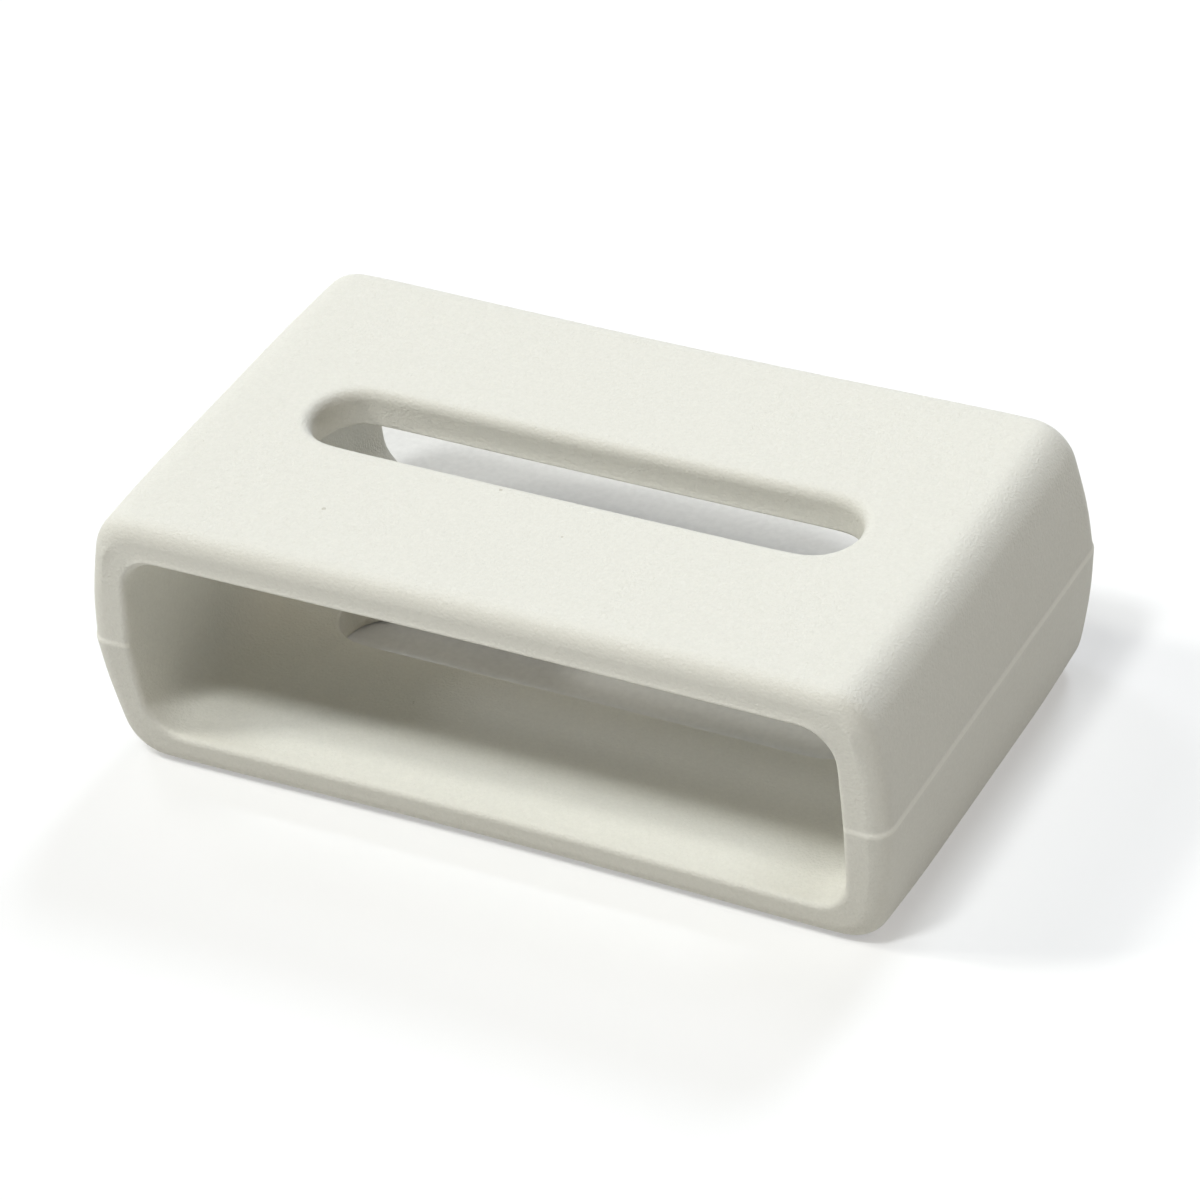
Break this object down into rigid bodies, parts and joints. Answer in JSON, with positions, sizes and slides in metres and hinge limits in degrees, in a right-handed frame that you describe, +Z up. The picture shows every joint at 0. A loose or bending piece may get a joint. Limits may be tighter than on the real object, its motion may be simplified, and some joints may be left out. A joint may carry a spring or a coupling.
{
  "type": "watch strap keeper",
  "caption": "Soft rectangular loop that holds a watch strap's folded tail, with a rounded slot through its upper and lower walls.",
  "frame": {"origin": "centre of the outer lower face's level, under the middle of the loop", "axes": "+X along the strap's width, +Y along the strap's run through the tunnel, +Z up from the lower wall to the upper wall"},
  "size_m": [0.0224, 0.013, 0.0076],
  "materials": {
    "silicone": "matte"
  },
  "bodies": {
    "root": {"keeper_loop": "silicone"}
  },
  "joints": []
}
